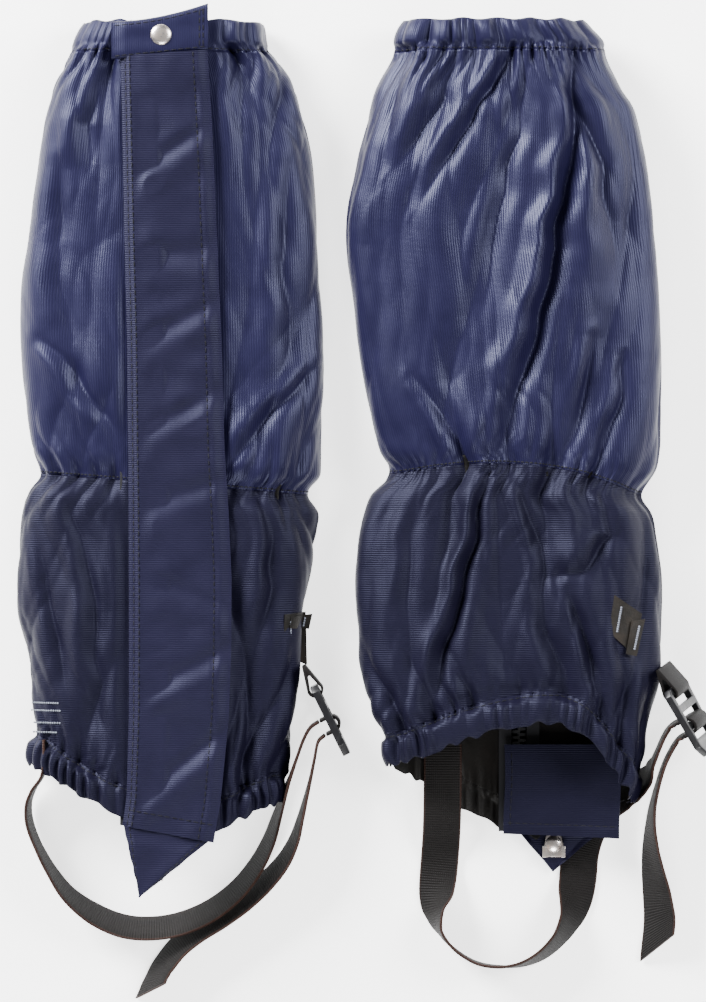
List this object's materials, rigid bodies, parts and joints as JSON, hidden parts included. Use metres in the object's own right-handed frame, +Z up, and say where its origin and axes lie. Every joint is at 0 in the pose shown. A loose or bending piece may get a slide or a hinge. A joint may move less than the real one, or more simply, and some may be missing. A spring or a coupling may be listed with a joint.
{
  "type": "gaiters",
  "caption": "Pair of knee-high front-opening gaiters with storm flaps, lace hooks, buckles and foot straps, laid flat one face up, one face down.",
  "frame": {"origin": "on the surface the pair lies on, at the middle of the pair without its foot straps", "axes": "+Y towards the top bands, +X to the right seen from above with the top bands away from the viewer, +Z up from the surface"},
  "size_m": [0.3705, 0.5236, 0.0407],
  "materials": {
    "shell": "thin navy nylon, fine upright ribs, satin",
    "oxford": "heavier navy coated weave, crosswise ribs, matt",
    "band": "navy gathered elastic casing",
    "binding": "black tape and elastic",
    "coated": "black rubbery coated cloth",
    "webbing": "black-brown flat webbing, crosswise ribs",
    "plastic": "dark grey acetal, glossy",
    "coil": "black coil zip",
    "nickel": "nickel-plated, slightly worn"
  },
  "bodies": {
    "left_sleeve": {"left_top_band": "band", "left_upper_panel": "shell", "left_ankle_elastic": "binding", "left_lower_panel": "oxford", "left_hem_casing": "oxford", "left_zip_tape_inner": "binding", "left_zip_tape_outer": "binding", "left_zip_teeth": "coil", "left_zip_box": "coil", "left_zip_guard": "oxford", "left_snap_stud": "nickel", "left_loop_tape": "binding", "left_strap_patch": "coated", "left_label": "binding", "left_anchor_loop": "webbing", "left_foot_strap": "webbing", "left_strap_tail": "webbing"},
    "left_flap": {"left_flap_seam": "oxford", "left_storm_flap": "oxford", "left_flap_tab": "band", "left_snap_socket": "nickel", "left_snap_cap": "nickel", "left_hook_tape": "binding", "left_toe_tip": "oxford", "left_lace_hook": "nickel", "left_hook_rivet": "nickel"},
    "left_slider": {"left_zip_slider": "nickel"},
    "left_pull": {"left_zip_pull": "nickel"},
    "left_buckle": {"left_buckle": "plastic", "left_strap_wrap": "webbing"},
    "right_sleeve": {"right_top_band": "band", "right_upper_panel": "shell", "right_ankle_elastic": "binding", "right_lower_panel": "oxford", "right_hem_casing": "oxford", "right_zip_tape_inner": "binding", "right_zip_tape_outer": "binding", "right_zip_teeth": "coil", "right_zip_box": "coil", "right_zip_guard": "oxford", "right_snap_stud": "nickel", "right_loop_tape": "binding", "right_strap_patch": "coated", "right_label": "binding", "right_anchor_loop": "webbing", "right_foot_strap": "webbing", "right_strap_tail": "webbing"},
    "right_flap": {"right_flap_seam": "oxford", "right_storm_flap": "oxford", "right_flap_tab": "band", "right_snap_socket": "nickel", "right_snap_cap": "nickel", "right_hook_tape": "binding", "right_toe_tip": "oxford", "right_lace_hook": "nickel", "right_hook_rivet": "nickel"},
    "right_slider": {"right_zip_slider": "nickel"},
    "right_pull": {"right_zip_pull": "nickel"},
    "right_buckle": {"right_buckle": "plastic", "right_strap_wrap": "webbing"}
  },
  "joints": [
    {"name": "left_flap_open", "type": "hinge", "parent": "left_sleeve", "child": "left_flap", "pos_m": [-0.1265, 0, 0.0353], "axis": [0, -1, 0], "range_deg": [0, 140]},
    {"name": "left_zip_slide", "type": "slide", "parent": "left_sleeve", "child": "left_slider", "axis": [0, -1, 0], "range_m": [0, 0.37]},
    {"name": "left_pull_lift", "type": "hinge", "parent": "left_slider", "child": "left_pull", "pos_m": [-0.1185, 0.1967, 0.0358], "axis": [-1, 0, 0], "range_deg": [0, 42]},
    {"name": "left_buckle_turn", "type": "hinge", "parent": "left_sleeve", "child": "left_buckle", "pos_m": [-0.02717, -0.12558, 0.017], "axis": [0, 0, 1], "range_deg": [-8, 25], "deforming": ["left_foot_strap", "left_strap_tail"]},
    {"name": "right_lift", "type": "slide", "parent": "left_sleeve", "child": "right_sleeve", "axis": [0, 0, 1], "range_m": [0, 0.25]},
    {"name": "right_flap_open", "type": "hinge", "parent": "right_sleeve", "child": "right_flap", "pos_m": [0.0725, 0, 0.0054], "axis": [0, 1, 0], "range_deg": [0, 140]},
    {"name": "right_zip_slide", "type": "slide", "parent": "right_sleeve", "child": "right_slider", "axis": [0, -1, 0], "range_m": [0, 0.37]},
    {"name": "right_pull_lift", "type": "hinge", "parent": "right_slider", "child": "right_pull", "pos_m": [0.0805, 0.1967, 0.0049], "axis": [1, 0, 0], "range_deg": [0, 42]},
    {"name": "right_buckle_turn", "type": "hinge", "parent": "right_sleeve", "child": "right_buckle", "pos_m": [0.16232, -0.12524, 0.0237], "axis": [-0.3696, -0.2049, 0.9063], "range_deg": [-8, 25], "deforming": ["right_foot_strap", "right_strap_tail"]}
  ],
  "couplings": [
    {"joint": "left_pull_lift", "follows": "left_flap_open", "ratio": 0.3},
    {"joint": "right_flap_open", "follows": "right_lift", "rad_per_m": 9.77},
    {"joint": "right_pull_lift", "follows": "right_lift", "rad_per_m": 2.93}
  ]
}
